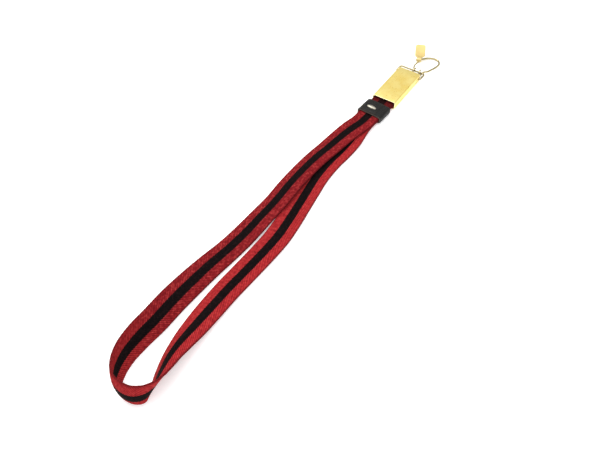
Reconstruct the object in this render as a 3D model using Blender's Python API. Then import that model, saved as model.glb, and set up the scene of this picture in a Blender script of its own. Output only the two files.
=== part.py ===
# Saxophone neck strap: one length of striped webbing, a folded sheet buckle,
# a wire bail with a gated hook, and a riveted leather keeper.
# Metres, +Z up, standing on z = 0, +X runs from the neck loop to the hook.
import math

import bmesh
import bpy
from mathutils import Vector

# ---------------------------------------------------------------- dimensions
MM = 0.001
SHIFT = (187.0, -2.89, 0.0)    # buckle middle measured from the part's origin

WEB_W = 25.0                    # webbing width
WEB_T = 2.0                     # webbing thickness
WEB_STEP = 4.5                  # spacing of webbing stations on the long runs

SLEEVE_X0 = -33.5               # buckle's loop end
SLEEVE_X1 = 28.0                # buckle's hook end
SLEEVE_W = 28.0                 # buckle width over the side walls
SLEEVE_H = 9.6                  # buckle height
SHEET = 1.0                     # buckle sheet thickness
SLEEVE_R = 2.4                  # outer radius of the rolled sides, top
SLEEVE_RB = 2.0                 # outer radius of the rolled sides, bottom
FLANGE_Y = 7.5                  # inner edge of the flanges turned under

ANCHOR_X = 16.5                 # fixed bar the sewn end is turned round
ANCHOR_D = 2.0
ANCHOR_Z = 4.5
LOCK_X = -17.0                  # loose bar that jams the adjustable end
LOCK_D = 2.2
LOCK_Z = 2.25

BAIL_X = 24.4                   # bail pivot in the side walls
BAIL_Z = 4.5
BAIL_D = 2.0
BAIL_ARM_Y = 15.4
BAIL_REACH = 12.2               # pivot to cross bar
HOOK_D = 2.2
EYE_R = 2.75                    # centre radius of the wire eyes
HOOK_EYE_Y = -9.8
GATE_EYE_Y = -1.6
GATE_D = 1.8

TIP_DX = 23.6                   # hook's free tip under the saddle, from the cross bar
TIP_Y = 3.6
TIP_Z = 3.0
TAB_T = 0.8
TAB_L = 19.4
TAB_OFF = 0.7                   # tongue set off sideways from the saddle
TAB_YAW = 25.0

KEEPER_X = -52.5                # middle of the leather keeper
KEEPER_LEN = 21.0
KEEPER_IN_W = 25.8
KEEPER_T = 1.8
KEEPER_Z0 = 0.3
KEEPER_TOP = 9.4
KEEPER_YAW = math.radians(3.0)  # the strap leaves the buckle at a slight angle
RIVET_X = -1.5
RIVET_Y = 2.6

LOW_Z = 3.3                     # lower webbing layer where both lie stacked
HIGH_Z = 5.7                    # upper webbing layer

# Neck loop, walked from the keeper down the upper layer, round the bend and
# back along the lower layer: x, y and height of the middle line, bank in
# degrees (outer edge raised), and camber.
LOOP = [
    (-90.0, 5.6, 5.6, 0.0, 0.0),
    (-104.0, 8.6, 4.9, -3.0, -0.3),
    (-125.0, 11.8, 3.9, -6.0, -0.8),
    (-148.0, 14.6, 3.6, -8.0, -1.2),
    (-172.0, 15.8, 3.5, -9.0, -1.2),
    (-196.0, 15.8, 3.4, -9.5, -1.1),
    (-220.0, 14.6, 3.6, -9.0, -1.0),
    (-244.0, 15.2, 3.0, -6.0, -1.0),
    (-268.0, 16.0, 2.0, -1.0, -1.0),
    (-292.0, 17.4, 1.6, 2.0, -1.2),
    (-316.0, 19.2, 3.0, 9.0, -1.4),
    (-340.0, 20.2, 4.9, 18.0, -1.0),
    (-364.0, 20.4, 6.8, 27.0, -0.8),
    (-386.0, 19.4, 8.8, 37.0, -0.5),
    (-406.0, 19.2, 10.6, 49.0, 0.0),
    (-424.0, 17.6, 11.8, 62.0, 0.6),
    (-438.4, 13.2, 12.5, 74.0, 1.6),
    (-448.4, 6.2, 12.9, 86.0, 2.6),
    (-452.2, -3.8, 12.9, 94.0, 3.2),
    (-451.0, -14.0, 12.9, 96.0, 3.1),
    (-444.4, -21.0, 12.7, 92.0, 2.2),
    (-433.8, -21.8, 11.4, 67.0, 0.8),
    (-420.0, -17.6, 9.3, 49.0, -0.8),
    (-406.0, -13.9, 7.2, 37.0, -1.8),
    (-391.0, -11.8, 5.6, 25.0, -2.0),
    (-374.0, -10.4, 3.6, 13.0, -1.6),
    (-352.0, -9.2, 2.2, 5.0, -0.8),
    (-328.0, -8.8, 1.8, 2.0, -0.3),
    (-304.0, -9.8, 1.6, 0.0, 0.0),
    (-280.0, -11.0, 2.0, -1.0, 0.0),
    (-256.0, -11.2, 2.1, -3.0, 0.1),
    (-236.0, -9.2, 1.9, -3.0, 0.2),
    (-214.0, -5.8, 1.4, -1.0, 0.1),
    (-192.0, -2.4, 1.2, 0.0, 0.0),
    (-168.0, 1.0, 1.15, 0.0, 0.0),
    (-146.0, 1.6, 1.15, 0.0, 0.0),
    (-124.0, 0.2, 1.35, 0.0, 0.0),
    (-106.0, -0.2, 2.2, 0.0, 0.0),
    (-90.0, 1.6, 3.1, 0.0, 0.0),
]


# ------------------------------------------------------------------- helpers
def clear_scene():
    for obj in list(bpy.data.objects):
        bpy.data.objects.remove(obj, do_unlink=True)


def make_material(name, colour, metallic, roughness):
    mat = bpy.data.materials.new(name)
    mat.use_nodes = True
    shader = mat.node_tree.nodes["Principled BSDF"]
    shader.inputs["Base Color"].default_value = (*colour, 1.0)
    shader.inputs["Metallic"].default_value = metallic
    shader.inputs["Roughness"].default_value = roughness
    mat.diffuse_color = (*colour, 1.0)
    return mat


def add_object(name, bm, mat, smooth=True, pivot=(0.0, 0.0, 0.0)):
    """Turn a bmesh in mm round the buckle centre into a placed object."""
    bmesh.ops.recalc_face_normals(bm, faces=bm.faces)
    px, py, pz = pivot
    for v in bm.verts:
        v.co = Vector(((v.co.x - px) * MM, (v.co.y - py) * MM, (v.co.z - pz) * MM))
    mesh = bpy.data.meshes.new(name)
    bm.to_mesh(mesh)
    bm.free()
    for poly in mesh.polygons:
        poly.use_smooth = smooth
    mesh.materials.append(mat)
    obj = bpy.data.objects.new(name, mesh)
    obj.location = ((px + SHIFT[0]) * MM, (py + SHIFT[1]) * MM, (pz + SHIFT[2]) * MM)
    bpy.context.scene.collection.objects.link(obj)
    return obj


def catmull(points, step):
    """Smooth a list of equal-length tuples; the first three are x, y, z."""
    pts = [tuple(2 * a - b for a, b in zip(points[0], points[1]))]
    pts += [tuple(p) for p in points]
    pts.append(tuple(2 * a - b for a, b in zip(points[-1], points[-2])))
    out = []
    for i in range(1, len(pts) - 2):
        span = math.dist(pts[i][:3], pts[i + 1][:3])
        n = max(1, round(span / step))
        for k in range(n):
            t = k / n
            out.append(tuple(
                0.5 * (2 * b + (c - a) * t + (2 * a - 5 * b + 4 * c - d) * t * t
                       + (3 * b - a - 3 * c + d) * t * t * t)
                for a, b, c, d in zip(pts[i - 1], pts[i], pts[i + 1], pts[i + 2])))
    out.append(tuple(points[-1]))
    return out


def sweep(rings, bm=None):
    """Skin a list of equal rings of Vectors and close both ends."""
    bm = bm or bmesh.new()
    rows = [[bm.verts.new(p) for p in ring] for ring in rings]
    n = len(rows[0])
    for a, b in zip(rows, rows[1:]):
        for k in range(n):
            bm.faces.new((a[k], a[(k + 1) % n], b[(k + 1) % n], b[k]))
    bm.faces.new(rows[0])
    bm.faces.new(list(reversed(rows[-1])))
    return bm


def tube_rings(path, radius, sides=12):
    """Circles carried along a path of Vectors without twisting."""
    rings = []
    n = len(path)
    tangents = [(path[min(i + 1, n - 1)] - path[max(i - 1, 0)]).normalized()
                for i in range(n)]
    ref = Vector((0, 0, 1)) if abs(tangents[0].z) < 0.8 else Vector((0, 1, 0))
    normal = tangents[0].cross(ref).normalized()
    for i, p in enumerate(path):
        t = tangents[i]
        normal = (normal - t * normal.dot(t)).normalized()
        side = t.cross(normal)
        r = radius[i] if isinstance(radius, list) else radius
        rings.append([p + (normal * math.cos(a) + side * math.sin(a)) * r
                      for a in (2 * math.pi * k / sides for k in range(sides))])
    return rings


def round_caps(path, radius):
    """Lengthen a path by two small steps at each end for domed wire ends."""
    a = (path[0] - path[1]).normalized()
    b = (path[-1] - path[-2]).normalized()
    full = [path[0] + a * radius * 0.45, path[0] + a * radius * 0.3]
    full += list(path)
    full += [path[-1] + b * radius * 0.3, path[-1] + b * radius * 0.45]
    radii = [radius * 0.55, radius * 0.85] + [radius] * len(path)
    radii += [radius * 0.85, radius * 0.55]
    return full, radii


def box(bm, x0, x1, y0, y1, z0, z1):
    vs = [bm.verts.new((x, y, z)) for x in (x0, x1) for y in (y0, y1) for z in (z0, z1)]
    for f in ((0, 1, 3, 2), (4, 6, 7, 5), (0, 4, 5, 1), (2, 3, 7, 6), (0, 2, 6, 4),
              (1, 5, 7, 3)):
        bm.faces.new([vs[k] for k in f])


def cut(target, cutter_bm, name):
    """Exact boolean difference with a hidden wire cutter, then applied."""
    bmesh.ops.recalc_face_normals(cutter_bm, faces=cutter_bm.faces)
    for v in cutter_bm.verts:
        v.co = Vector((v.co.x * MM, v.co.y * MM, v.co.z * MM))
    mesh = bpy.data.meshes.new(name)
    cutter_bm.to_mesh(mesh)
    cutter_bm.free()
    cutter = bpy.data.objects.new(name, mesh)
    cutter.location = (SHIFT[0] * MM, SHIFT[1] * MM, SHIFT[2] * MM)
    bpy.context.scene.collection.objects.link(cutter)
    mod = target.modifiers.new(name, "BOOLEAN")
    mod.operation = "DIFFERENCE"
    mod.solver = "EXACT"
    mod.object = cutter
    dg = bpy.context.evaluated_depsgraph_get()
    done = bpy.data.meshes.new_from_object(target.evaluated_get(dg))
    target.modifiers.clear()
    target.data = done
    bpy.data.objects.remove(cutter, do_unlink=True)


# ------------------------------------------------------------------- webbing
def web_stations():
    """(position, across) pairs for the whole length, sewn end to tail."""
    stations = []
    back_r = ANCHOR_D / 2 + 0.3 + WEB_T / 2
    across = Vector((0, 1, 0))
    top_z = ANCHOR_Z + back_r
    # sewn end, lying against the under side of the upper layer
    start = catmull([(3.0, 0, top_z - WEB_T - 0.35), (9.0, 0, top_z - WEB_T - 0.35),
                     (14.0, 0, ANCHOR_Z - back_r + 1.2),
                     (ANCHOR_X - 0.4, 0, ANCHOR_Z - back_r)], 2.0)
    for p in start[:-1]:
        stations.append((Vector(p), across, 0.0))
    for k in range(10):
        a = -math.pi / 2 + math.pi * k / 9
        stations.append((Vector((ANCHOR_X + back_r * math.cos(a), 0,
                                 ANCHOR_Z + back_r * math.sin(a))), across, 0.0))
    def lean(x):
        return -math.tan(KEEPER_YAW) * (x + 27.0)

    lead = [(ANCHOR_X - 4, 0, top_z, 0, 0), (1.0, 0, top_z, 0, 0),
            (-14.0, 0, top_z - 0.1, 0, 0), (-25.0, 0.05, HIGH_Z + 0.5, 0, 0),
            (-34.0, lean(-34.0), HIGH_Z, 0, 0), (-58.0, lean(-58.0), HIGH_Z, 0, 0),
            (-76.0, lean(-76.0), HIGH_Z, 0, 0)]
    tail = [(-76.0, lean(-76.0), LOW_Z, 0, 0), (-58.0, lean(-58.0), LOW_Z, 0, 0),
            (-34.0, lean(-34.0), LOW_Z, 0, 0), (-26.5, 0.1, LOW_Z + 0.45, 0, 0),
            (-20.0, 0, 4.45, 0, 0), (-13.5, 0, 4.5, 0, 0), (-8.0, 0, 4.05, 0, 0),
            (-2.0, 0, 3.7, 0, 0)]
    line = catmull(lead + LOOP + tail, WEB_STEP)
    n = len(line)
    for i, p in enumerate(line):
        a = line[max(i - 1, 0)]
        b = line[min(i + 1, n - 1)]
        t = Vector((b[0] - a[0], b[1] - a[1], 0)).normalized()
        right = Vector((t.y, -t.x, 0))
        bank = math.radians(p[3])
        rest = 0.1 + (WEB_W / 2 * abs(math.sin(bank)) + WEB_T / 2 * abs(math.cos(bank))
                      + 0.25 * abs(p[4]) + max(0.0, -p[4]) * abs(math.cos(bank)))
        w = right * math.cos(bank) + Vector((0, 0, 1)) * math.sin(bank)
        stations.append((Vector((p[0], p[1], max(p[2], rest))), w, p[4]))
    return stations


def web_rings(stations, strips=4):
    """Flat ribbon sections with eased selvedges, cambered where asked."""
    rings = []
    n = len(stations)
    hw, ht = WEB_W / 2, WEB_T / 2
    us = [-hw + WEB_W * k / strips for k in range(strips + 1)]
    for i, (p, w, camber) in enumerate(stations):
        t = (stations[min(i + 1, n - 1)][0] - stations[max(i - 1, 0)][0]).normalized()
        w = (w - t * w.dot(t)).normalized()
        nrm = t.cross(w)
        ring = []
        for side in (1, -1):
            for u in (us if side > 0 else reversed(us)):
                edge = abs(u) > hw - 0.01
                uu = u * (1 - 0.016 * edge)
                off = -camber * (u / hw) ** 2 + side * ht * (0.7 if edge else 1.0)
                ring.append(p + w * uu + nrm * off)
            mid = hw if side > 0 else -hw
            ring.append(p + w * mid + nrm * (-camber))
        rings.append(ring)
    return rings


def make_webbing(mat):
    bm = sweep(web_rings(web_stations()))
    return add_object("webbing", bm, mat)


# -------------------------------------------------------------------- buckle
def arc(cy, cz, r, a0, a1, n):
    out = []
    for k in range(n + 1):
        a = math.radians(a0 + (a1 - a0) * k / n)
        out.append((cy + r * math.cos(a), cz + r * math.sin(a)))
    return out


def sleeve_profile():
    """Closed C section in y, z: plain face on top, sides rolled under."""
    hw = SLEEVE_W / 2
    h = SLEEVE_H
    ro, rb = SLEEVE_R, SLEEVE_RB
    ri, rbi = ro - SHEET, rb - SHEET
    outer = [(FLANGE_Y, 0.0)]
    outer += arc(hw - rb, rb, rb, -90, 0, 5)
    outer += arc(hw - ro, h - ro, ro, 0, 90, 7)
    inner = arc(hw - ro, h - ro, ri, 90, 0, 6)
    inner += arc(hw - rb, rb, rbi, 0, -90, 4)
    inner += [(FLANGE_Y, SHEET)]
    left_outer = [(-y, z) for y, z in reversed(outer)]
    left_inner = [(-y, z) for y, z in reversed(inner)]
    return outer + left_outer + left_inner + inner


def make_sleeve(mat):
    bm = bmesh.new()
    prof = sleeve_profile()
    rows = []
    for x in (SLEEVE_X0, SLEEVE_X1):
        rows.append([bm.verts.new((x, y, z)) for y, z in prof])
    n = len(prof)
    for k in range(n):
        bm.faces.new((rows[0][k], rows[0][(k + 1) % n], rows[1][(k + 1) % n], rows[1][k]))
    bm.faces.new(rows[0])
    bm.faces.new(list(reversed(rows[1])))
    obj = add_object("buckle_sleeve", bm, mat, smooth=False)
    hw = SLEEVE_W / 2
    holes = bmesh.new()
    for x, z, d in ((BAIL_X, BAIL_Z, BAIL_D + 0.5), (ANCHOR_X, ANCHOR_Z, ANCHOR_D + 0.3)):
        for s in (-1, 1):
            ring_a, ring_b = [], []
            for k in range(16):
                a = 2 * math.pi * k / 16
                ring_a.append(Vector((x + d / 2 * math.cos(a), s * (hw - SHEET - 1.0),
                                      z + d / 2 * math.sin(a))))
                ring_b.append(Vector((ring_a[-1].x, s * (hw + 1.0), ring_a[-1].z)))
            sweep([ring_a, ring_b], holes)
    cut(obj, holes, "wall_holes")
    mesh = obj.data
    for poly in mesh.polygons:
        poly.use_smooth = False
    return obj


def make_anchor_bar(mat):
    hw = SLEEVE_W / 2
    path = [Vector((ANCHOR_X, y, ANCHOR_Z)) for y in (-hw + 0.15, -hw + 0.3, hw - 0.3,
                                                      hw - 0.15)]
    radii = [ANCHOR_D / 2 - 0.2, ANCHOR_D / 2, ANCHOR_D / 2, ANCHOR_D / 2 - 0.2]
    return add_object("anchor_bar", sweep(tube_rings(path, radii, 16)), mat)


def make_lock_bar(mat):
    """Loose bar with plain ends and a ribbed middle."""
    half = SLEEVE_W / 2 - SHEET - 0.5
    bm = bmesh.new()
    sides = 32
    rings = []
    for y, ribbed in ((-half, 0), (-half + 0.3, 0), (-9.0, 0), (-8.6, 1), (8.6, 1),
                      (9.0, 0), (half - 0.3, 0), (half, 0)):
        ring = []
        for k in range(sides):
            a = 2 * math.pi * k / sides
            r = LOCK_D / 2 - (0.15 if ribbed and k % 2 else 0.0)
            if abs(y) == half:
                r -= 0.25
            ring.append(Vector((LOCK_X + r * math.cos(a), y, LOCK_Z + r * math.sin(a))))
        rings.append(ring)
    sweep(rings, bm)
    return add_object("lock_bar", bm, mat, smooth=False, pivot=(LOCK_X, 0, LOCK_Z))


def make_tail_tip(mat):
    """Thin sheet folded over the raw end of the adjustable layer."""
    x0, x1, z = -7.2, -1.4, 3.72
    hw, ht, s = WEB_W / 2 + 0.15, WEB_T / 2 + 0.15, 0.35
    slope = math.tan(math.radians(3.5))
    prof = [(x0, ht), (x0, ht + s), (x1 + s, ht + s), (x1 + s + 0.25, 0.0),
            (x1 + s, -ht - s), (x0, -ht - s), (x0, -ht), (x1, -ht), (x1, ht)]
    rings = []
    for y in (-hw, hw):
        rings.append([Vector((x, y, z + dz - slope * (x - x1))) for x, dz in prof])
    return add_object("tail_tip", sweep(rings), mat, smooth=False)


def make_end_stitching(mat):
    """One connected run of box stitching under the sewn end."""
    z = ANCHOR_Z + ANCHOR_D / 2 + 0.3 + WEB_T / 2 - WEB_T - 0.35 - WEB_T / 2 - 0.3
    pts = []
    n = 9
    for k in range(n + 1):
        y = -10.5 + 21.0 * k / n
        pts.append(Vector((4.2 if k % 2 else 8.2, y, z)))
    path = []
    for a, b in zip(pts, pts[1:]):
        for j in range(4):
            path.append(a.lerp(b, j / 4))
    path.append(pts[-1])
    return add_object("end_stitching", sweep(tube_rings(path, 0.22, 6)), mat)


# ----------------------------------------------------------- bail and hook
def make_bail(mat):
    """Wire bail: feet through the side walls, arms outside, cross bar."""
    y_in = SLEEVE_W / 2 - SHEET - 1.0
    r = 2.6
    arm = BAIL_ARM_Y
    x0, x1, z = BAIL_X, BAIL_X + BAIL_REACH, BAIL_Z
    half = [(x0, y_in, z), (x0, arm - 1.3, z)]
    for k in range(1, 7):
        a = math.radians(90 * k / 6)
        half.append((x0 + 1.3 * (1 - math.cos(a)), arm - 1.3 + 1.3 * math.sin(a), z))
    half.append((x1 - r - 1.5, arm, z))
    for k in range(0, 7):
        a = math.radians(90 * k / 6)
        half.append((x1 - r + r * math.sin(a), arm - r + r * math.cos(a), z))
    pts = [Vector(p) for p in half] + [Vector((x, -y, z_)) for x, y, z_ in reversed(half)]
    path, radii = round_caps(pts, BAIL_D / 2)
    bm = sweep(tube_rings(path, radii, 14))
    return add_object("bail", bm, mat, pivot=(BAIL_X, 0, BAIL_Z))


def eye_points(x, y, z, start_deg, sweep_deg, drift, n=14):
    """Points round the bail's cross bar, drifting sideways as a wire must."""
    out = []
    for k in range(n + 1):
        a = math.radians(start_deg + sweep_deg * k / n)
        out.append((x + EYE_R * math.cos(a), y + drift * (k / n - 0.5),
                    z + EYE_R * math.sin(a)))
    return out


def make_hook_wire(mat):
    """Hook: eye on the bail, straight leg, wide bow back to the free tip."""
    x = BAIL_X + BAIL_REACH
    z = BAIL_Z
    pts = eye_points(x, HOOK_EYE_Y, z, 25, 300, -2.6, 16)
    pts += [(x + 5.4, -12.6, 3.2), (x + 9.0, -15.4, 2.9), (x + 15.0, -17.2, 2.5),
            (x + 22.5, -19.1, 2.0), (x + 30.2, -19.5, 1.6), (x + 35.6, -16.6, 1.4),
            (x + 37.4, -11.0, 1.4), (x + 35.4, -5.6, 1.7), (x + 31.0, -1.4, 2.2),
            (x + 26.8, 0.9, 2.8), (x + TIP_DX, TIP_Y, TIP_Z),
            (x + TIP_DX - 1.5, TIP_Y + 2.9, TIP_Z)]
    line = [Vector(p) for p in catmull(pts, 1.7)]
    path, radii = round_caps(line, HOOK_D / 2)
    bm = sweep(tube_rings(path, radii, 12))
    return add_object("hook_wire", bm, mat, pivot=(BAIL_X + BAIL_REACH, 0, BAIL_Z))


def make_gate_wire(mat):
    """Gate leg: eye on the bail, then a low leg to the back of the saddle."""
    x = BAIL_X + BAIL_REACH
    z = BAIL_Z
    pts = eye_points(x, GATE_EYE_Y, z, 25, 300, 2.4, 16)
    pts += [(x + 5.0, 0.8, 3.1), (x + 8.5, 2.3, 2.9), (x + 12.5, 2.9, 2.9),
            (x + 16.5, 2.7, 2.95), (x + 20.2, 2.0, 3.0)]
    line = [Vector(p) for p in catmull(pts, 1.7)]
    path, radii = round_caps(line, GATE_D / 2)
    bm = sweep(tube_rings(path, radii, 12))
    return add_object("gate_wire", bm, mat, pivot=(x, 0, z))


def make_gate_tab(mat):
    """Sheet thumb tab: a saddle over the hook's tip, then a raised tongue."""
    x = BAIL_X + BAIL_REACH
    heading = math.radians(TAB_YAW)
    out_dir = Vector((math.cos(heading), math.sin(heading), 0))
    across = Vector((math.sin(heading), -math.cos(heading), 0))
    up = Vector((0, 0, 1))
    tip = Vector((x + TIP_DX, TIP_Y, TIP_Z))
    r = HOOK_D / 2 + 0.8 + TAB_T / 2
    stations = []
    for k in range(9):
        a = math.radians(228 - (228 - 101) * k / 8)
        d = out_dir * math.cos(a) + up * math.sin(a)
        stations.append((tip + d * r, d, 2.7))
    d = stations[-1][1]
    run = across.cross(d).normalized()
    if run.dot(out_dir) < 0:
        run = -run
    base = stations[-1][0]
    for dist, half in ((1.5, 3.2), (3.0, 4.9), (4.2, 5.8), (8.0, 6.0), (12.5, 6.0),
                       (TAB_L - 2.6, 6.0), (TAB_L - 1.2, 5.7), (TAB_L - 0.35, 5.0),
                       (TAB_L, 4.0)):
        curl = up * 0.006 * dist * dist
        aside = across * TAB_OFF * min(1.0, dist / 4.2)
        stations.append((base + run * dist + curl + aside, d, half))
    rings = []
    for p, d, half in stations:
        ring = []
        for side in (1, -1):
            for k in range(5):
                u = (-half + 2 * half * k / 4) * side
                dish = -0.25 * (1 - (u / half) ** 2) if half > 4 else 0.0
                ring.append(p + across * u + d * (side * TAB_T / 2 + dish))
        rings.append(ring)
    return add_object("gate_tab", sweep(rings), mat, pivot=(x, 0, BAIL_Z))


# -------------------------------------------------------------------- keeper
def round_rect(hw, z0, z1, r, n=5):
    pts = arc(hw - r, z0 + r, r, -90, 0, n) + arc(hw - r, z1 - r, r, 0, 90, n)
    pts += arc(-hw + r, z1 - r, r, 90, 180, n) + arc(-hw + r, z0 + r, r, 180, 270, n)
    return pts


def keeper_to_world(x, y, z):
    c, s = math.cos(-KEEPER_YAW), math.sin(-KEEPER_YAW)
    cy = -math.tan(KEEPER_YAW) * (KEEPER_X + 27.0)
    return Vector((KEEPER_X + x * c - y * s, cy + x * s + y * c, z))


def make_keeper(mat):
    """Closed leather band with eased mouth edges and a rivet hole on top."""
    hw_in = KEEPER_IN_W / 2
    hw = hw_in + KEEPER_T
    hl = KEEPER_LEN / 2
    rings = []
    for x, d in ((-hl, 0.45), (-hl + 0.45, 0.0), (-3.0, -0.15), (3.0, -0.15),
                 (hl - 0.45, 0.0), (hl, 0.45)):
        rings.append([(x, y, z) for y, z in
                      round_rect(hw - d, KEEPER_Z0 + max(d, 0), KEEPER_TOP - d, 3.0)])
    for x in (hl, 0.0, -hl):
        rings.append([(x, y, z) for y, z in
                      round_rect(hw_in, KEEPER_Z0 + KEEPER_T, KEEPER_TOP - KEEPER_T, 1.3)])
    bm = bmesh.new()
    rows = [[bm.verts.new(keeper_to_world(*p)) for p in ring] for ring in rings]
    n = len(rows[0])
    for a, b in zip(rows, rows[1:] + rows[:1]):
        for k in range(n):
            bm.faces.new((a[k], a[(k + 1) % n], b[(k + 1) % n], b[k]))
    obj = add_object("keeper_band", bm, mat)
    hole = bmesh.new()
    lo, hi = [], []
    for k in range(16):
        a = 2 * math.pi * k / 16
        for ring, z in ((lo, KEEPER_TOP - KEEPER_T - 1.0), (hi, KEEPER_TOP + 1.0)):
            ring.append(keeper_to_world(RIVET_X + 1.15 * math.cos(a),
                                        RIVET_Y + 1.15 * math.sin(a), z))
    sweep([lo, hi], hole)
    cut(obj, hole, "rivet_hole")
    return obj


def make_rivet(mat):
    """Long oval domed head on a round shank."""
    rings = []
    z = KEEPER_TOP + 0.3
    under = KEEPER_TOP - KEEPER_T - 0.3

    def oval(hx, hy, zz, n=24):
        out = []
        for k in range(n):
            a = 2 * math.pi * k / n
            out.append(keeper_to_world(RIVET_X + hx * math.cos(a),
                                       RIVET_Y + hy * math.sin(a), zz))
        return out

    rings.append(oval(0.9, 0.9, under))
    rings.append(oval(0.9, 0.9, z))
    for hx, hy, dz in ((2.4, 5.5, 0.0), (2.5, 5.6, 0.25), (2.3, 5.3, 0.8),
                       (1.8, 4.5, 1.25), (1.0, 3.0, 1.55), (0.3, 1.2, 1.65)):
        rings.append(oval(hx, hy, z + dz))
    return add_object("keeper_rivet", sweep(rings), mat)


def make_burr(mat):
    """Washer clenched on the shank inside the band."""
    bm = bmesh.new()
    z0 = KEEPER_TOP - KEEPER_T - 0.68
    z1 = z0 + 0.5
    rows = []
    for r, z in ((1.1, z0), (2.9, z0), (2.9, z1), (1.1, z1)):
        row = []
        for k in range(20):
            a = 2 * math.pi * k / 20
            row.append(bm.verts.new(keeper_to_world(RIVET_X + r * math.cos(a),
                                                    RIVET_Y + r * math.sin(a), z)))
        rows.append(row)
    for a, b in zip(rows, rows[1:] + rows[:1]):
        for k in range(20):
            bm.faces.new((a[k], a[(k + 1) % 20], b[(k + 1) % 20], b[k]))
    return add_object("rivet_burr", bm, mat, smooth=False)


def main():
    clear_scene()
    web = make_material("striped_webbing", (0.42, 0.03, 0.045), 0.0, 0.9)
    gold = make_material("gold_sheet", (0.78, 0.62, 0.33), 1.0, 0.28)
    wire = make_material("gold_wire", (0.74, 0.57, 0.28), 1.0, 0.25)
    tab = make_material("gold_tab", (0.78, 0.6, 0.3), 1.0, 0.3)
    steel = make_material("lock_steel", (0.62, 0.6, 0.56), 1.0, 0.35)
    tip = make_material("tip_brass", (0.7, 0.55, 0.3), 1.0, 0.4)
    thread = make_material("black_thread", (0.03, 0.025, 0.03), 0.0, 0.8)
    leather = make_material("black_leather", (0.02, 0.018, 0.017), 0.0, 0.55)
    rivet = make_material("nickel_rivet", (0.78, 0.74, 0.66), 1.0, 0.3)
    make_webbing(web)
    make_sleeve(gold)
    make_anchor_bar(steel)
    make_lock_bar(steel)
    make_tail_tip(tip)
    make_end_stitching(thread)
    make_bail(wire)
    make_hook_wire(wire)
    make_gate_wire(wire)
    make_gate_tab(tab)
    make_keeper(leather)
    make_rivet(rivet)
    make_burr(rivet)


main()
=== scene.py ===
# Looks for the saxophone neck strap: woven striped webbing, folded gold
# buckle, wire bail with a gated hook, and a riveted leather keeper.
import math

import bmesh
import bpy
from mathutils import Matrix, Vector


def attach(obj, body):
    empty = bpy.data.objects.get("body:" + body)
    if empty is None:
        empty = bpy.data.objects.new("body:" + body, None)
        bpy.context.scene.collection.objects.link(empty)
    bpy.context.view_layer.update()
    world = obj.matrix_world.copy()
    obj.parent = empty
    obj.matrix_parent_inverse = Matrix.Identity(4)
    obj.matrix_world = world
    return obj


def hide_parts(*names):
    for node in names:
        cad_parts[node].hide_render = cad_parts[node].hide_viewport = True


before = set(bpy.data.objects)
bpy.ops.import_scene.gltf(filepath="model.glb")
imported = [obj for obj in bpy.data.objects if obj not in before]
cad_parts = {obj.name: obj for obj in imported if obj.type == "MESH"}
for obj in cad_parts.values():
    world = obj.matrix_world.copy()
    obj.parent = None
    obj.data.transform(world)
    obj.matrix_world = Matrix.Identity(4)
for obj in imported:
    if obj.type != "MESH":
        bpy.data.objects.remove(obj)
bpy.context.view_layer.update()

MM = 0.001
SHIFT = Vector((187.0, -2.89, 0.0))   # buckle middle from the origin, mm

# ------------------------------------------------------------ camera and light
scene = bpy.context.scene
scene.view_settings.view_transform = "Standard"
CAM = Vector((-0.37472, -0.24343, 0.474))
LOOK = Vector((-0.04272, -0.02243, 0.0))

cam_data = bpy.data.cameras.new("camera")
cam_data.sensor_width = 36.0
cam_data.lens = 39.4
cam_data.clip_start = 0.01
cam = bpy.data.objects.new("camera", cam_data)
cam.location = CAM
cam.rotation_euler = (LOOK - CAM).to_track_quat("-Z", "Y").to_euler()
scene.collection.objects.link(cam)
scene.camera = cam

ahead = Vector((LOOK.x - CAM.x, LOOK.y - CAM.y, 0)).normalized()
rightward = Vector((ahead.y, -ahead.x, 0))


def stage_point(right, away, up):
    return LOOK + rightward * right + ahead * away + Vector((0, 0, up))


def area_light(name, where, aim, size, watts, colour=(1, 1, 1)):
    data = bpy.data.lights.new(name, "AREA")
    data.shape = "DISK"
    data.size = size
    data.energy = watts
    data.color = colour
    obj = bpy.data.objects.new(name, data)
    obj.location = where
    obj.rotation_euler = (aim - where).to_track_quat("-Z", "Y").to_euler()
    scene.collection.objects.link(obj)
    return obj


area_light("key", stage_point(-0.75, 0.55, 1.15), LOOK, 1.0, 12.0, (1.0, 0.985, 0.96))
area_light("fill", stage_point(0.7, -0.9, 1.0), LOOK, 1.6, 5.0, (0.97, 0.985, 1.0))
area_light("top", stage_point(0.1, 0.2, 1.5), LOOK, 1.4, 6.0)

world = bpy.data.worlds.new("studio")
world.use_nodes = True
world.node_tree.nodes["Background"].inputs["Strength"].default_value = 1.0
sky = world.node_tree
sky_where = sky.nodes.new("ShaderNodeTexCoord")
sky_split = sky.nodes.new("ShaderNodeSeparateXYZ")
sky_fade = sky.nodes.new("ShaderNodeMapRange")
sky_fade.inputs["From Min"].default_value = 0.10
sky_fade.inputs["From Max"].default_value = 0.62
sky_fade.inputs["To Min"].default_value = 0.42
sky_fade.inputs["To Max"].default_value = 1.0
sky.links.new(sky_where.outputs["Generated"], sky_split.inputs["Vector"])
sky.links.new(sky_split.outputs["Z"], sky_fade.inputs["Value"])
sky.links.new(sky_fade.outputs["Result"], sky.nodes["Background"].inputs["Color"])
scene.world = world


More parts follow.
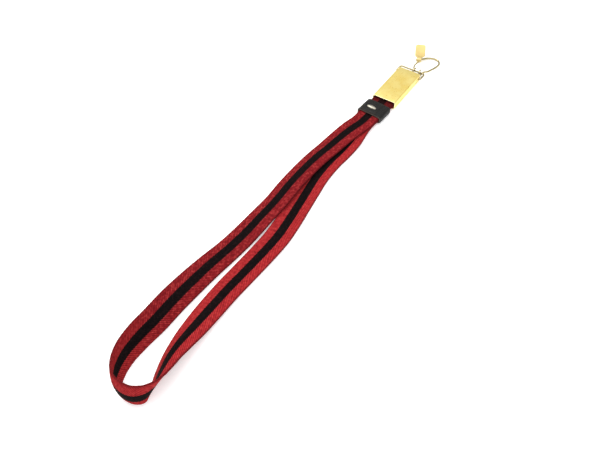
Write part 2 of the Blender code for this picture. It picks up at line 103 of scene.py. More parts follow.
# ------------------------------------------------------------------- materials
class Tree:
    """Short hand for building a node material."""

    def __init__(self, name, colour, metallic=0.0, roughness=0.5):
        self.mat = bpy.data.materials.new(name)
        self.mat.use_nodes = True
        self.nodes = self.mat.node_tree.nodes
        self.links = self.mat.node_tree.links
        self.bsdf = self.nodes["Principled BSDF"]
        self.bsdf.inputs["Base Color"].default_value = (*colour, 1)
        self.bsdf.inputs["Metallic"].default_value = metallic
        self.bsdf.inputs["Roughness"].default_value = roughness
        self.mat.diffuse_color = (*colour, 1)

    def node(self, kind, **sockets):
        n = self.nodes.new(kind)
        for key, value in sockets.items():
            n.inputs[key.replace("_", " ")].default_value = value
        return n

    def link(self, a, b):
        self.links.new(a, b)

    def math(self, op, a, b=None, c=None, clamp=False):
        n = self.nodes.new("ShaderNodeMath")
        n.operation = op
        n.use_clamp = clamp
        for k, v in enumerate((a, b, c)):
            if v is None:
                continue
            if isinstance(v, (int, float)):
                n.inputs[k].default_value = v
            else:
                self.link(v, n.inputs[k])
        return n.outputs[0]

    def mix(self, fac, a, b):
        n = self.nodes.new("ShaderNodeMix")
        n.data_type = "RGBA"
        for sock, v in ((n.inputs[0], fac), (n.inputs[6], a), (n.inputs[7], b)):
            if isinstance(v, tuple):
                sock.default_value = (*v, 1) if len(v) == 3 else v
            elif isinstance(v, (int, float)):
                sock.default_value = v
            else:
                self.link(v, sock)
        return n.outputs[2]

    def noise(self, coord, scale, detail=3.0, rough=0.55):
        n = self.nodes.new("ShaderNodeTexNoise")
        n.inputs["Scale"].default_value = scale
        n.inputs["Detail"].default_value = detail
        n.inputs["Roughness"].default_value = rough
        self.link(coord, n.inputs["Vector"])
        return n.outputs["Fac"]

    def ramp(self, fac, low, high, a=0.0, b=1.0):
        n = self.nodes.new("ShaderNodeMapRange")
        n.clamp = True
        n.inputs["From Min"].default_value = low
        n.inputs["From Max"].default_value = high
        n.inputs["To Min"].default_value = a
        n.inputs["To Max"].default_value = b
        self.link(fac, n.inputs["Value"])
        return n.outputs["Result"]

    def bump(self, height, distance, strength=1.0, after=None):
        n = self.nodes.new("ShaderNodeBump")
        n.inputs["Distance"].default_value = distance
        n.inputs["Strength"].default_value = strength
        self.link(height, n.inputs["Height"])
        if after is not None:
            self.link(after, n.inputs["Normal"])
        return n.outputs["Normal"]


def object_coord(t):
    return t.nodes.new("ShaderNodeTexCoord").outputs["Object"]


def stretched(t, coord, scale):
    n = t.nodes.new("ShaderNodeMapping")
    n.inputs["Scale"].default_value = scale
    t.link(coord, n.inputs["Vector"])
    return n.outputs["Vector"]


def webbing_material():
    """Twill tape: red, black middle stripe, ribs of yarn running on the slant."""
    t = Tree("striped_twill", (0.27, 0.012, 0.016), 0.0, 0.9)
    uv = t.nodes.new("ShaderNodeUVMap")
    uv.uv_map = "weave"
    sep = t.nodes.new("ShaderNodeSeparateXYZ")
    t.link(uv.outputs["UV"], sep.inputs["Vector"])
    u, v = sep.outputs["X"], sep.outputs["Y"]          # both in units of 100 mm
    across = t.math("ABSOLUTE", u)
    obj = object_coord(t)

    # yarns: two slanted ribs crossing the warp, 1.25 mm pitch, chevron at middle
    warp = t.math("SINE", t.math("MULTIPLY", u, 2 * math.pi / 0.0105))
    slant = t.math("ADD", t.math("MULTIPLY", across, 0.95), v)
    rib = t.math("SINE", t.math("MULTIPLY", slant, 2 * math.pi / 0.0210))
    rib01 = t.ramp(rib, -1.0, 1.0)
    warp01 = t.ramp(warp, -1.0, 1.0)
    fuzz = t.noise(obj, 900.0, 3.0)
    cloth = t.math("ADD", t.math("MULTIPLY", rib01, 0.75), t.math("MULTIPLY", warp01, 0.25))
    height = t.math("ADD", cloth, t.math("MULTIPLY", fuzz, 0.35))

    # stripe borders wander by a yarn, as woven ones do
    wob = t.math("MULTIPLY", t.math("SUBTRACT", t.noise(obj, 260.0, 2.0), 0.5), 0.006)
    step = t.math("MULTIPLY", t.math("SUBTRACT", rib01, 0.5), 0.003)
    edge = t.math("ADD", across, t.math("ADD", wob, step))
    black = t.ramp(edge, 0.0385, 0.0425, 1.0, 0.0)

    patch = t.noise(obj, 38.0, 3.0)
    fine = t.noise(obj, 420.0, 3.0)
    red = t.mix(patch, (0.170, 0.009, 0.012), (0.27, 0.014, 0.018))
    # painted light: the far half of the loop is given a stronger, brighter red, as its lit side
    lit_far_half = t.ramp(v, 4.2, 4.8)
    red = t.mix(t.math("MULTIPLY", lit_far_half, 0.62), red, (0.50, 0.030, 0.033))
    red = t.mix(t.ramp(fine, 0.50, 0.70, 0.0, 0.60), red, (0.52, 0.060, 0.055))
    red = t.mix(t.ramp(fine, 0.30, 0.48, 0.55, 0.0), red, (0.095, 0.004, 0.006))
    # painted shade: the red is darkened in the low grooves between the yarn ribs
    red = t.mix(t.ramp(cloth, 0.05, 0.55, 0.75, 0.0), red, (0.075, 0.003, 0.005))
    dark = t.mix(patch, (0.0030, 0.0022, 0.0026), (0.0065, 0.0042, 0.0045))
    dark = t.mix(t.ramp(fine, 0.50, 0.8, 0.0, 0.6), dark, (0.024, 0.012, 0.012))
    colour = t.mix(black, red, dark)
    # painted shade: the red selvedges are darkened along the tape's rounded edges
    selv = t.ramp(across, 0.112, 0.123)
    colour = t.mix(t.math("MULTIPLY", selv, 0.75), colour, (0.085, 0.006, 0.008))
    # painted shade: the tape is darkened from its end through the buckle to the keeper, fading out past it
    painted_shade_by_buckle = t.ramp(v, 0.80, 1.05, 0.62, 0.0)
    colour = t.mix(painted_shade_by_buckle, colour, (0.016, 0.004, 0.004))
    t.link(colour, t.bsdf.inputs["Base Color"])
    t.link(t.ramp(fine, 0.2, 0.8, 0.72, 0.95), t.bsdf.inputs["Roughness"])
    t.bsdf.inputs["Sheen Weight"].default_value = 0.01
    t.bsdf.inputs["Sheen Roughness"].default_value = 0.45
    t.bsdf.inputs["Sheen Tint"].default_value = (1.0, 0.55, 0.5, 1)
    t.bsdf.inputs["Specular IOR Level"].default_value = 0.03
    t.link(t.bump(height, 0.00040, 0.9), t.bsdf.inputs["Normal"])
    return t.mat


def gold_material(name, base, worn, rough=0.24, brushed=(60.0, 900.0, 900.0)):
    """Lacquered gold plate with fine handling marks and duller patches."""
    t = Tree(name, base, 1.0, rough)
    obj = object_coord(t)
    streak = t.noise(stretched(t, obj, brushed), 1.0, 4.0)
    cloud = t.noise(obj, 55.0, 4.0)
    spots = t.noise(obj, 700.0, 2.0)
    geo = t.nodes.new("ShaderNodeNewGeometry")
    wear = t.ramp(geo.outputs["Pointiness"], 0.52, 0.60)
    colour = t.mix(t.ramp(cloud, 0.35, 0.7), base, worn)
    colour = t.mix(t.ramp(spots, 0.62, 0.8, 0.0, 0.25), colour, tuple(c * 0.6 for c in base))
    colour = t.mix(t.math("MULTIPLY", wear, 0.5), colour, (0.95, 0.86, 0.66))
    t.link(colour, t.bsdf.inputs["Base Color"])
    r = t.math("ADD", t.ramp(streak, 0.3, 0.7, rough - 0.05, rough + 0.10),
               t.ramp(cloud, 0.4, 0.8, 0.0, 0.08))
    t.link(r, t.bsdf.inputs["Roughness"])
    h = t.math("ADD", streak, t.math("MULTIPLY", spots, 0.3))
    t.link(t.bump(h, 0.00002, 0.5), t.bsdf.inputs["Normal"])
    return t.mat


def leather_material():
    """Black glazed leather: pebbled grain, creases, browner scuffs."""
    t = Tree("black_grain_leather", (0.014, 0.012, 0.011), 0.0, 0.42)
    obj = object_coord(t)
    cell = t.nodes.new("ShaderNodeTexVoronoi")
    cell.feature = "DISTANCE_TO_EDGE"
    cell.inputs["Scale"].default_value = 1300.0
    t.link(obj, cell.inputs["Vector"])
    grain = t.ramp(cell.outputs["Distance"], 0.0, 0.28)
    pores = t.noise(obj, 2200.0, 2.0)
    crease = t.noise(stretched(t, obj, (90.0, 320.0, 320.0)), 1.0, 4.0)
    scuff = t.ramp(t.noise(obj, 120.0, 5.0), 0.52, 0.75)
    geo = t.nodes.new("ShaderNodeNewGeometry")
    wear = t.ramp(geo.outputs["Pointiness"], 0.53, 0.62)
    colour = t.mix(scuff, (0.0045, 0.0042, 0.0038), (0.013, 0.011, 0.009))
    colour = t.mix(t.math("MULTIPLY", wear, 0.6), colour, (0.05, 0.04, 0.03))
    t.link(colour, t.bsdf.inputs["Base Color"])
    t.link(t.math("ADD", t.ramp(grain, 0.0, 1.0, 0.58, 0.36),
                  t.math("MULTIPLY", scuff, 0.15)), t.bsdf.inputs["Roughness"])
    h = t.math("ADD", t.math("MULTIPLY", grain, 0.6),
               t.math("ADD", t.math("MULTIPLY", pores, 0.15),
                      t.math("MULTIPLY", crease, 0.8)))
    t.bsdf.inputs["Specular IOR Level"].default_value = 0.22
    t.link(t.bump(h, 0.00018, 0.8), t.bsdf.inputs["Normal"])
    return t.mat


def cut_edge_material():
    """Raw edge of the leather: brown-grey, fibrous."""
    t = Tree("leather_edge", (0.12, 0.09, 0.075), 0.0, 0.8)
    obj = object_coord(t)
    fibre = t.noise(stretched(t, obj, (300.0, 1400.0, 1400.0)), 1.0, 4.0)
    t.link(t.mix(fibre, (0.030, 0.024, 0.019), (0.13, 0.105, 0.085)),
           t.bsdf.inputs["Base Color"])
    t.link(t.bump(fibre, 0.0002, 0.7), t.bsdf.inputs["Normal"])
    return t.mat


def thread_material():
    """Black waxed sewing thread."""
    t = Tree("waxed_thread", (0.03, 0.025, 0.03), 0.0, 0.7)
    obj = object_coord(t)
    ply = t.noise(obj, 1800.0, 3.0)
    t.link(t.mix(ply, (0.015, 0.012, 0.014), (0.06, 0.05, 0.055)),
           t.bsdf.inputs["Base Color"])
    t.link(t.bump(ply, 0.0001, 0.8), t.bsdf.inputs["Normal"])
    return t.mat


def floor_material():
    """White paper that lifts its own shadows, as an over-exposed sweep does."""
    t = Tree("paper_sweep", (0.93, 0.93, 0.93), 0.0, 0.9)
    obj = object_coord(t)
    fleck = t.noise(obj, 240.0, 3.0)
    t.link(t.mix(fleck, (0.93, 0.93, 0.93), (0.95, 0.95, 0.95)),
           t.bsdf.inputs["Base Color"])
    t.bsdf.inputs["Specular IOR Level"].default_value = 0.0
    t.bsdf.inputs["Emission Color"].default_value = (1, 1, 1, 1)
    t.bsdf.inputs["Emission Strength"].default_value = 0.30
    return t.mat


WEB = webbing_material()
GOLD = gold_material("satin_gold_sheet", (0.90, 0.685, 0.185), (0.96, 0.81, 0.31), 0.28, (260.0, 420.0, 420.0))
# painted shade: the wires' gold is darker than the plate's, standing in for dark reflections along them
WIRE_GOLD_SHADED = gold_material("gold_wire_painted_shade", (0.34, 0.28, 0.13), (0.56, 0.48, 0.27), 0.17, (260.0, 420.0, 420.0))
# painted shade: the tab's gold is darker than the plate's, to tone down the lamp's reflection on it
TAB = gold_material("gold_tab_painted_shade", (0.60, 0.46, 0.18), (0.72, 0.57, 0.26), 0.36, (260.0, 420.0, 420.0))
STEEL = gold_material("plain_steel", (0.55, 0.54, 0.51), (0.66, 0.64, 0.60), 0.34)
BRASS = gold_material("tip_brass_sheet", (0.62, 0.48, 0.26), (0.72, 0.58, 0.34), 0.38)
NICKEL = gold_material("warm_nickel", (0.40, 0.375, 0.31), (0.56, 0.53, 0.45), 0.32, (300.0, 420.0, 420.0))
# painted highlight: the sleeve's mouths get a paler, glossier gold
HIGHLIGHT_RIM_GOLD = gold_material("rim_painted_highlight", (0.96, 0.84, 0.42), (1.0, 0.90, 0.55), 0.14, (260.0, 420.0, 420.0))
LEATHER = leather_material()
EDGE = cut_edge_material()
THREAD = thread_material()


# --------------------------------------------------------------------- meshing
def piece(name, bm, mats, body, nodes=()):
    """Finish a bmesh given in mm round the buckle middle, and ride it."""
    bmesh.ops.recalc_face_normals(bm, faces=bm.faces)
    for vert in bm.verts:
        vert.co = (vert.co + SHIFT) * MM
    mesh = bpy.data.meshes.new(name)
    bm.to_mesh(mesh)
    bm.free()
    for m in mats if isinstance(mats, (list, tuple)) else [mats]:
        mesh.materials.append(m)
    for poly in mesh.polygons:
        poly.use_smooth = True
    obj = bpy.data.objects.new(name, mesh)
    scene.collection.objects.link(obj)
    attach(obj, body)
    if nodes:
        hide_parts(*nodes)
    return obj


def catmull(points, step):
    pts = [tuple(2 * a - b for a, b in zip(points[0], points[1]))]
    pts += [tuple(p) for p in points]
    pts.append(tuple(2 * a - b for a, b in zip(points[-1], points[-2])))
    out = []
    for i in range(1, len(pts) - 2):
        n = max(1, round(math.dist(pts[i][:3], pts[i + 1][:3]) / step))
        for k in range(n):
            t = k / n
            out.append(tuple(
                0.5 * (2 * b + (c - a) * t + (2 * a - 5 * b + 4 * c - d) * t * t
                       + (3 * b - a - 3 * c + d) * t * t * t)
                for a, b, c, d in zip(pts[i - 1], pts[i], pts[i + 1], pts[i + 2])))
    out.append(tuple(points[-1]))
    return out


def skin(rings, loop=False):
    """Join equal rings into a skin, closed by end caps or into a loop."""
    bm = bmesh.new()
    rows = [[bm.verts.new(p) for p in ring] for ring in rings]
    n = len(rows[0])
    pairs = list(zip(rows, rows[1:] + rows[:1])) if loop else list(zip(rows, rows[1:]))
    for a, b in pairs:
        for k in range(n):
            bm.faces.new((a[k], a[(k + 1) % n], b[(k + 1) % n], b[k]))
    if not loop:
        bm.faces.new(rows[0])
        bm.faces.new(list(reversed(rows[-1])))
    return bm


def tube_rings(path, radius, sides=12):
    rings = []
    n = len(path)
    tans = [(path[min(i + 1, n - 1)] - path[max(i - 1, 0)]).normalized() for i in range(n)]
    ref = Vector((0, 0, 1)) if abs(tans[0].z) < 0.8 else Vector((0, 1, 0))
    normal = tans[0].cross(ref).normalized()
    for i, p in enumerate(path):
        t = tans[i]
        normal = (normal - t * normal.dot(t)).normalized()
        side = t.cross(normal)
        r = radius[i] if isinstance(radius, list) else radius
        rings.append([p + (normal * math.cos(a) + side * math.sin(a)) * r
                      for a in (2 * math.pi * k / sides for k in range(sides))])
    return rings


def domed(path, radius):
    a = (path[0] - path[1]).normalized()
    b = (path[-1] - path[-2]).normalized()
    steps = ((0.45, 0.25), (0.42, 0.55), (0.32, 0.82), (0.15, 0.96))
    full = [path[0] + a * radius * d for d, _ in steps] + list(path)
    full += [path[-1] + b * radius * d for d, _ in reversed(steps)]
    radii = [radius * r for _, r in steps] + [radius] * len(path)
    radii += [radius * r for _, r in reversed(steps)]
    return full, radii


# --------------------------------------------------------------------- webbing
WEB_W, WEB_T = 25.0, 2.0
HIGH_Z, LOW_Z = 5.7, 3.3
ANCHOR_X, ANCHOR_Z, ANCHOR_D = 16.5, 4.5, 2.0
LEAN = math.radians(3.0)
# x, y, z of the middle line, bank, camber, as in the CAD route
LOOP = [
    (-90.0, 5.6, 5.6, 0.0, 0.0),
    (-104.0, 8.6, 4.9, -3.0, -0.3),
    (-125.0, 11.8, 3.9, -6.0, -0.8),
    (-148.0, 14.6, 3.6, -8.0, -1.2),
    (-172.0, 15.8, 3.5, -9.0, -1.2),
    (-196.0, 15.8, 3.4, -9.5, -1.1),
    (-220.0, 14.6, 3.6, -9.0, -1.0),
    (-244.0, 15.2, 3.0, -6.0, -1.0),
    (-268.0, 16.0, 2.0, -1.0, -1.0),
    (-292.0, 17.4, 1.6, 2.0, -1.2),
    (-316.0, 19.2, 3.0, 9.0, -1.4),
    (-340.0, 20.2, 4.9, 18.0, -1.0),
    (-364.0, 20.4, 6.8, 27.0, -0.8),
    (-386.0, 19.4, 8.8, 37.0, -0.5),
    (-406.0, 19.2, 10.6, 49.0, 0.0),
    (-424.0, 17.6, 11.8, 62.0, 0.6),
    (-438.4, 13.2, 12.5, 74.0, 1.6),
    (-448.4, 6.2, 12.9, 86.0, 2.6),
    (-452.2, -3.8, 12.9, 94.0, 3.2),
    (-451.0, -14.0, 12.9, 96.0, 3.1),
    (-444.4, -21.0, 12.7, 92.0, 2.2),
    (-433.8, -21.8, 11.4, 67.0, 0.8),
    (-420.0, -17.6, 9.3, 49.0, -0.8),
    (-406.0, -13.9, 7.2, 37.0, -1.8),
    (-391.0, -11.8, 5.6, 25.0, -2.0),
    (-374.0, -10.4, 3.6, 13.0, -1.6),
    (-352.0, -9.2, 2.2, 5.0, -0.8),
    (-328.0, -8.8, 1.8, 2.0, -0.3),
    (-304.0, -9.8, 1.6, 0.0, 0.0),
    (-280.0, -11.0, 2.0, -1.0, 0.0),
    (-256.0, -11.2, 2.1, -3.0, 0.1),
    (-236.0, -9.2, 1.9, -3.0, 0.2),
    (-214.0, -5.8, 1.4, -1.0, 0.1),
    (-192.0, -2.4, 1.2, 0.0, 0.0),
    (-168.0, 1.0, 1.15, 0.0, 0.0),
    (-146.0, 1.6, 1.15, 0.0, 0.0),
    (-124.0, 0.2, 1.35, 0.0, 0.0),
    (-106.0, -0.2, 2.2, 0.0, 0.0),
    (-90.0, 1.6, 3.1, 0.0, 0.0),
]


def web_stations(step):
    """Middle line, width direction and camber of the whole strap, end to end."""
    stations = []
    back_r = ANCHOR_D / 2 + 0.3 + WEB_T / 2
    across = Vector((0, 1, 0))
    top_z = ANCHOR_Z + back_r
    start = catmull([(3.0, 0, top_z - WEB_T - 0.35), (9.0, 0, top_z - WEB_T - 0.35),
                     (14.0, 0, ANCHOR_Z - back_r + 1.2),
                     (ANCHOR_X - 0.4, 0, ANCHOR_Z - back_r)], step)
    for p in start[:-1]:
        stations.append((Vector(p), across, 0.0))
    for k in range(16):
        a = -math.pi / 2 + math.pi * k / 15
        stations.append((Vector((ANCHOR_X + back_r * math.cos(a), 0,
                                 ANCHOR_Z + back_r * math.sin(a))), across, 0.0))

    def lean(x):
        return -math.tan(LEAN) * (x + 27.0)

    lead = [(ANCHOR_X - 4, 0, top_z, 0, 0), (1.0, 0, top_z, 0, 0),
            (-14.0, 0, top_z - 0.1, 0, 0), (-25.0, 0.05, HIGH_Z + 0.5, 0, 0),
            (-34.0, lean(-34.0), HIGH_Z, 0, 0), (-58.0, lean(-58.0), HIGH_Z, 0, 0),
            (-76.0, lean(-76.0), HIGH_Z, 0, 0)]
    tail = [(-76.0, lean(-76.0), LOW_Z, 0, 0), (-58.0, lean(-58.0), LOW_Z, 0, 0),
            (-34.0, lean(-34.0), LOW_Z, 0, 0), (-26.5, 0.1, LOW_Z + 0.45, 0, 0),
            (-20.0, 0, 4.45, 0, 0), (-13.5, 0, 4.5, 0, 0), (-8.0, 0, 4.05, 0, 0),
            (-2.0, 0, 3.7, 0, 0)]
    line = catmull(lead + LOOP + tail, step)
    n = len(line)
    for i, p in enumerate(line):
        a = line[max(i - 1, 0)]
        b = line[min(i + 1, n - 1)]
        t = Vector((b[0] - a[0], b[1] - a[1], 0)).normalized()
        right = Vector((t.y, -t.x, 0))
        bank = math.radians(p[3])
        rest = 0.1 + (WEB_W / 2 * abs(math.sin(bank)) + WEB_T / 2 * abs(math.cos(bank))
                      + 0.25 * abs(p[4]) + max(0.0, -p[4]) * abs(math.cos(bank)))
        w = right * math.cos(bank) + Vector((0, 0, 1)) * math.sin(bank)
        stations.append((Vector((p[0], p[1], max(p[2], rest))), w, p[4]))
    return stations


def make_webbing():
    """Stadium section tape with rounded, slightly scalloped selvedges."""
    st = web_stations(1.5)
    n = len(st)
    hw, ht = WEB_W / 2, WEB_T / 2
    cols = [-hw, -hw + 0.12, -hw + 0.4, -hw + 0.9]
    cols += [-11.0 + 22.0 * k / 18 for k in range(19)]
    cols += [hw - 0.9, hw - 0.4, hw - 0.12, hw]
    bm = bmesh.new()
    uv = bm.loops.layers.uv.new("weave")
    rows = []
    run = 0.0
    runs = []
    for i, (p, w, camber) in enumerate(st):
        if i:
            run += (p - st[i - 1][0]).length
        t = (st[min(i + 1, n - 1)][0] - st[max(i - 1, 0)][0]).normalized()
        w = (w - t * w.dot(t)).normalized()
        nrm = t.cross(w)
        ring = []
        scallop = 0.10 * math.sin(run * 2 * math.pi / 3.0)
        for side in (1, -1):
            use = cols if side > 0 else cols[-2:0:-1]
            for u in use:
                inset = max(0.0, abs(u) - (hw - ht)) / ht
                half = ht * math.sqrt(max(0.0, 1 - inset * inset))
                groove = 0.10 * math.exp(-((abs(u) - 4.1) / 0.35) ** 2)
                off = -camber * (u / hw) ** 2 + side * max(0.0, half - groove)
                uu = u + (scallop if u > 0 else -scallop) * inset - 0.1 * (1 if u > 0 else -1)
                if abs(u) < 11:
                    uu = u
                ring.append((bm.verts.new(p + w * uu + nrm * off), u))
        rows.append(ring)
        runs.append(run)
    m = len(rows[0])
    for i in range(len(rows) - 1):
        for k in range(m):
            quad = [(rows[i][k], runs[i]), (rows[i][(k + 1) % m], runs[i]),
                    (rows[i + 1][(k + 1) % m], runs[i + 1]), (rows[i + 1][k], runs[i + 1])]
            face = bm.faces.new([q[0][0] for q in quad])
            for loop, (vu, r) in zip(face.loops, quad):
                loop[uv].uv = (vu[1] / 100.0, r / 100.0)
    for row, r in ((rows[0], runs[0]), (rows[-1][::-1], runs[-1])):
        face = bm.faces.new([q[0] for q in row])
        for loop, q in zip(face.loops, row):
            loop[uv].uv = (q[1] / 100.0, r / 100.0)
    obj = piece("striped_strap", bm, WEB, "strap", ["webbing"])
    return obj, run


strap, strap_len = make_webbing()


# ---------------------------------------------------------------------- buckle
SLEEVE_X0, SLEEVE_X1 = -33.5, 28.0
SLEEVE_W, SLEEVE_H, SHEET = 28.0, 9.6, 1.0
SLEEVE_R, SLEEVE_RB, FLANGE_Y = 2.4, 2.0, 7.5


def arc(cy, cz, r, a0, a1, n):
    return [(cy + r * math.cos(math.radians(a0 + (a1 - a0) * k / n)),
             cz + r * math.sin(math.radians(a0 + (a1 - a0) * k / n))) for k in range(n + 1)]


def make_sleeve():
    """Folded plate with its sides rolled under; its eased mouths get a paler gold as a painted highlight."""
    hw, h = SLEEVE_W / 2, SLEEVE_H

    def profile(o):
        """Closed section whose outer skin is drawn in by o."""
        ro, rb = SLEEVE_R, SLEEVE_RB
        outer = [(FLANGE_Y + o, o)]
        outer += [(y - o, z + o) for y, z in arc(hw - rb, rb, rb, -90, 0, 10)]
        outer += [(y - o, z - o) for y, z in arc(hw - ro, h - ro, ro, 0, 90, 14)]
        top = [(y, h - o) for y in (10.0, 8.0, 6.0, 4.0, 2.0, 0.0)]
        inner_top = [(y, h - SHEET) for y in (0.0, 2.0, 4.0, 6.0, 8.0, 10.0)]
        inner = arc(hw - ro, h - ro, ro - SHEET, 90, 0, 12)
        inner += arc(hw - rb, rb, rb - SHEET, 0, -90, 8)
        inner += [(FLANGE_Y + o, SHEET)]
        right_outer = outer + top
        left_outer = [(-y, z) for y, z in reversed(right_outer)][1:]
        left_inner = [(-y, z) for y, z in reversed(inner_top[1:] + inner)]
        return right_outer + left_outer + left_inner + inner_top + inner

    rings = []
    for x, inset in ((SLEEVE_X0, 0.34), (SLEEVE_X0 + 0.08, 0.18), (SLEEVE_X0 + 0.22, 0.06),
                     (SLEEVE_X0 + 0.5, 0.0), (-20.0, 0.0), (0.0, 0.0), (15.0, 0.0),
                     (SLEEVE_X1 - 0.5, 0.0), (SLEEVE_X1 - 0.22, 0.06),
                     (SLEEVE_X1 - 0.08, 0.18), (SLEEVE_X1, 0.34)):
        rings.append([Vector((x, y, z)) for y, z in profile(inset)])
    bm = skin(rings)
    for face in bm.faces:
        at = face.calc_center_median().x
        face.material_index = int(at < SLEEVE_X0 + 0.5 or at > SLEEVE_X1 - 0.5)
    return piece("folded_plate", bm, [GOLD, HIGHLIGHT_RIM_GOLD], "strap", ["buckle_sleeve"])


def make_wire(name, line, radius, node, body, sides=24):
    path, radii = domed(line, radius)
    return piece(name, skin(tube_rings(path, radii, sides)), WIRE_GOLD_SHADED, body, [node])


BAIL_X, BAIL_Z, BAIL_D, BAIL_ARM_Y, BAIL_REACH = 24.4, 4.5, 2.0, 15.4, 12.2
HOOK_D, EYE_R, HOOK_EYE_Y, GATE_EYE_Y, GATE_D = 2.2, 2.75, -9.8, -1.6, 1.8
TIP_DX, TIP_Y, TIP_Z = 23.6, 3.6, 3.0
TAB_T, TAB_L, TAB_YAW, TAB_OFF = 0.8, 19.4, 25.0, 0.7
BAR_X = BAIL_X + BAIL_REACH


def bail_line():
    """Feet in the walls, arms outside them, cross bar with rounded corners."""
    y_in, r, arm, z = SLEEVE_W / 2 - SHEET - 1.0, 2.6, BAIL_ARM_Y, BAIL_Z
    half = [(BAIL_X, y_in, z), (BAIL_X, y_in + 0.6, z), (BAIL_X, arm - 1.3, z)]
    for k in range(1, 15):
        a = math.radians(90 * k / 14)
        half.append((BAIL_X + 1.3 * (1 - math.cos(a)), arm - 1.3 + 1.3 * math.sin(a), z))
    half += [(BAR_X - r - 4.0, arm, z), (BAR_X - r - 1.5, arm, z)]
    for k in range(15):
        a = math.radians(90 * k / 14)
        half.append((BAR_X - r + r * math.sin(a), arm - r + r * math.cos(a), z))
    return [Vector(p) for p in half] + [Vector((x, -y, z_)) for x, y, z_ in reversed(half)]


def eye_points(y, drift, n=16):
    """A turn of wire round the bail's cross bar."""
    out = []
    for k in range(n + 1):
        a = math.radians(25 + 300 * k / n)
        out.append((BAR_X + EYE_R * math.cos(a), y + drift * (k / n - 0.5),
                    BAIL_Z + EYE_R * math.sin(a)))
    return out


def hook_line():
    """Eye on the bail, straight leg, wide bow back to the free tip."""
    x = BAR_X
    pts = eye_points(HOOK_EYE_Y, -2.6)
    pts += [(x + 5.4, -12.6, 3.2), (x + 9.0, -15.4, 2.9), (x + 15.0, -17.2, 2.5),
            (x + 22.5, -19.1, 2.0), (x + 30.2, -19.5, 1.6), (x + 35.6, -16.6, 1.4),
            (x + 37.4, -11.0, 1.4), (x + 35.4, -5.6, 1.7), (x + 31.0, -1.4, 2.2),
            (x + 26.8, 0.9, 2.8), (x + TIP_DX, TIP_Y, TIP_Z),
            (x + TIP_DX - 1.5, TIP_Y + 2.9, TIP_Z)]
    return [Vector(p) for p in catmull(pts, 0.7)]


def gate_line():
    """Eye on the bail, then a low leg to the tab's saddle."""
    x = BAR_X
    pts = eye_points(GATE_EYE_Y, 2.4)
    pts += [(x + 5.0, 0.8, 3.1), (x + 8.5, 2.3, 2.9), (x + 12.5, 2.9, 2.9),
            (x + 16.5, 2.7, 2.95), (x + 20.2, 2.0, 3.0)]
    return [Vector(p) for p in catmull(pts, 0.7)]


def make_tab():
    """Dished thumb tab with a rolled rim, on a saddle over the hook's tip."""
    heading = math.radians(TAB_YAW)
    out_dir = Vector((math.cos(heading), math.sin(heading), 0))
    across = Vector((math.sin(heading), -math.cos(heading), 0))
    up = Vector((0, 0, 1))
    tip = Vector((BAR_X + TIP_DX, TIP_Y, TIP_Z))
    r = HOOK_D / 2 + 0.8 + TAB_T / 2
    st = []
    for k in range(17):
        a = math.radians(228 - (228 - 101) * k / 16)
        d = out_dir * math.cos(a) + up * math.sin(a)
        st.append((tip + d * r, d, 2.7))
    d = st[-1][1]
    run = across.cross(d).normalized()
    if run.dot(out_dir) < 0:
        run = -run
    base = st[-1][0]
    widths = catmull([(0.0, 2.7, 0), (1.5, 3.2, 0), (3.0, 4.9, 0), (4.2, 5.8, 0),
                      (8.0, 6.0, 0), (12.5, 6.0, 0), (TAB_L - 2.6, 6.0, 0),
                      (TAB_L - 1.2, 5.7, 0), (TAB_L - 0.35, 5.0, 0), (TAB_L, 4.0, 0)], 0.5)
    for dist, half, _ in widths[1:]:
        aside = across * TAB_OFF * min(1.0, dist / 4.2)
        st.append((base + run * dist + up * 0.006 * dist * dist + aside, d, half))
    rings = []
    for p, d, half in st:
        ring = []
        us = [-1, -0.985, -0.95, -0.85, -0.6, -0.3, 0, 0.3, 0.6, 0.85, 0.95, 0.985, 1]
        for side in (1, -1):
            for f in (us if side > 0 else us[-2:0:-1]):
                u = f * half
                dish = -0.25 * (1 - f * f) if half > 4 else 0.0
                thick = TAB_T / 2 * (0.0 if abs(f) == 1 else 0.62 if abs(f) > 0.98
                                     else 0.92 if abs(f) > 0.94 else 1.0)
                ring.append(p + across * u + d * (side * thick + dish))
        rings.append(ring)
    return piece("thumb_tab", skin(rings), TAB, "gate", ["gate_tab"])


# ---------------------------------------------------------------------- keeper
KEEPER_X, KEEPER_LEN, KEEPER_IN_W, KEEPER_T = -52.5, 21.0, 25.8, 1.8
KEEPER_Z0, KEEPER_TOP = 0.3, 9.4
RIVET_X, RIVET_Y = -1.5, 2.6


def keeper_to_world(x, y, z):
    c, s = math.cos(-LEAN), math.sin(-LEAN)
    cy = -math.tan(LEAN) * (KEEPER_X + 27.0)
    return Vector((KEEPER_X + x * c - y * s, cy + x * s + y * c, z))


def band_section(hw, z0, z1, r, bulge, n=8):
    """Rounded rectangle whose faces belly outward a little."""
    pts = arc(hw - r, z0 + r, r, -90, 0, n)
    pts += [(hw + bulge * 0.8, (z0 + z1) / 2)]
    pts += arc(hw - r, z1 - r, r, 0, 90, n)
    for k in range(1, 12):
        f = 1 - 2 * k / 12
        pts.append(((hw - r) * f, z1 + bulge * (1 - f * f)))
    pts += arc(-hw + r, z1 - r, r, 90, 180, n)
    pts += [(-hw - bulge * 0.8, (z0 + z1) / 2)]
    pts += arc(-hw + r, z0 + r, r, 180, 270, n)
    for k in range(1, 6):
        f = -1 + 2 * k / 6
        pts.append(((hw - r) * f, z0))
    return pts


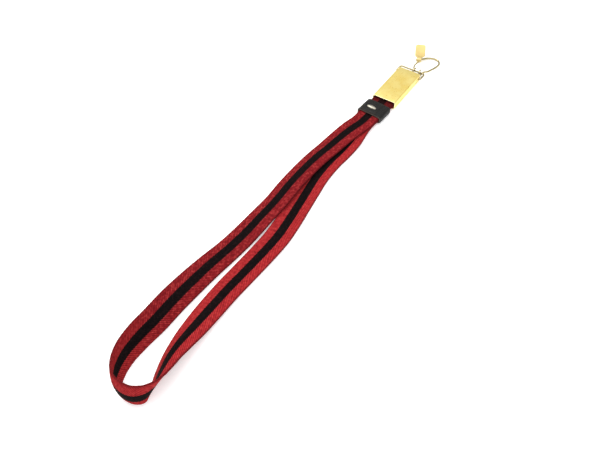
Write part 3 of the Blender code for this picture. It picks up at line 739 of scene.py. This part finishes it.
def make_keeper():
    """Leather band: soft faces, raw paler mouths; the lapped end is a separate flap."""
    hw_in, hl = KEEPER_IN_W / 2, KEEPER_LEN / 2
    hw = hw_in + KEEPER_T
    outer = []
    xs = [-hl, -hl + 0.15, -hl + 0.45, -hl + 1.0, -6, -3, 0, 3, 6, hl - 1.0, hl - 0.45,
          hl - 0.15, hl]
    for x in xs:
        edge = hl - abs(x)
        d = 0.45 if edge < 0.01 else 0.2 if edge < 0.3 else 0.04 if edge < 0.7 else 0.0
        belly = 0.12 + 0.22 * math.cos(x / hl * math.pi / 2)
        wave = 0.10 * math.sin(x * 0.55 + 0.8)
        outer.append([keeper_to_world(x, y + (wave if abs(y) > 10 else 0), z) for y, z in
                      band_section(hw - d, KEEPER_Z0 + d, KEEPER_TOP - d - 0.3, 3.0, belly)])
    for x in (hl, hl - 2.0, 0.0, -hl + 2.0, -hl):
        outer.append([keeper_to_world(x, y, z) for y, z in
                      band_section(hw_in, KEEPER_Z0 + KEEPER_T, KEEPER_TOP - KEEPER_T, 1.3, 0)])
    bm = skin(outer, loop=True)
    per = len(outer[0])
    for idx, face in enumerate(bm.faces):
        ring = idx // per
        face.material_index = 1 if ring in (0, 11, 12, 16, 17) else 0
    return piece("leather_keeper", bm, [LEATHER, EDGE], "keeper", ["keeper_band"])


def make_lap():
    """The lapped end of the keeper's leather, a flap with a cut edge on top."""
    hw = KEEPER_IN_W / 2 + KEEPER_T
    z = KEEPER_TOP - 0.3
    hl = KEEPER_LEN / 2 - 0.4
    rings = []
    for k in range(19):
        f = k / 18
        y = -6.6 + (hw - 1.6 + 6.6) * f
        q = max(-1.0, min(1.0, y / (hw - 3.0)))
        top = z + 0.34 * (1 - q * q)
        drop = 0.0 if y < hw - 3.0 else 3.0 - math.sqrt(max(0, 9 - (y - hw + 3.0) ** 2))
        thin = 0.02 if k == 0 else 0.40 if k < 17 else 0.40 * (18 - k) / 2 + 0.02
        ring = []
        for x in (-hl, -hl + 0.2, -4, 0, 4, hl - 0.2, hl):
            ring.append(keeper_to_world(x, y, top - drop + (thin if abs(x) < hl else thin * 0.5)))
        for x in (hl, 4, 0, -4, -hl):
            ring.append(keeper_to_world(x, y, top - drop - 0.5))
        rings.append(ring)
    bm = skin(rings)
    return piece("keeper_lap", bm, [LEATHER], "keeper", [])


def make_rivet_head():
    """Long oval dome on its round shank."""
    rings = []
    z = KEEPER_TOP + 0.3
    under = KEEPER_TOP - KEEPER_T - 0.3

    def oval(hx, hy, zz, n=48):
        return [keeper_to_world(RIVET_X + hx * math.cos(2 * math.pi * k / n),
                                RIVET_Y + hy * math.sin(2 * math.pi * k / n), zz)
                for k in range(n)]

    rings.append(oval(0.9, 0.9, under))
    rings.append(oval(0.9, 0.9, z - 0.3))
    rings.append(oval(2.3, 5.4, z - 0.3))
    rings.append(oval(2.45, 5.55, z - 0.1))
    for k in range(10):
        a = math.radians(90 * (k + 0.5) / 10)
        rings.append(oval(2.5 * math.cos(a), 5.6 * math.cos(a), z + 1.65 * math.sin(a)))
    return piece("rivet_dome", skin(rings), NICKEL, "keeper", ["keeper_rivet"])


make_sleeve()
make_wire("bent_bail", bail_line(), BAIL_D / 2, "bail", "bail")
make_wire("hook_bow", hook_line(), HOOK_D / 2, "hook_wire", "hook")
make_wire("gate_leg", gate_line(), GATE_D / 2, "gate_wire", "gate")
make_tab()
make_keeper()
make_lap()
make_rivet_head()

for node, mat in (("anchor_bar", STEEL), ("lock_bar", STEEL), ("tail_tip", BRASS),
                  ("end_stitching", THREAD), ("rivet_burr", NICKEL)):
    bpy.data.objects[node].material_slots[0].material = mat

# ----------------------------------------------------------------------- floor
floor_mesh = bpy.data.meshes.new("floor")
fb = bmesh.new()
bmesh.ops.create_grid(fb, x_segments=1, y_segments=1, size=6.0)
fb.to_mesh(floor_mesh)
fb.free()
floor_mesh.materials.append(floor_material())
floor = bpy.data.objects.new("floor", floor_mesh)
floor.location = (0, 0, -0.0002)
scene.collection.objects.link(floor)
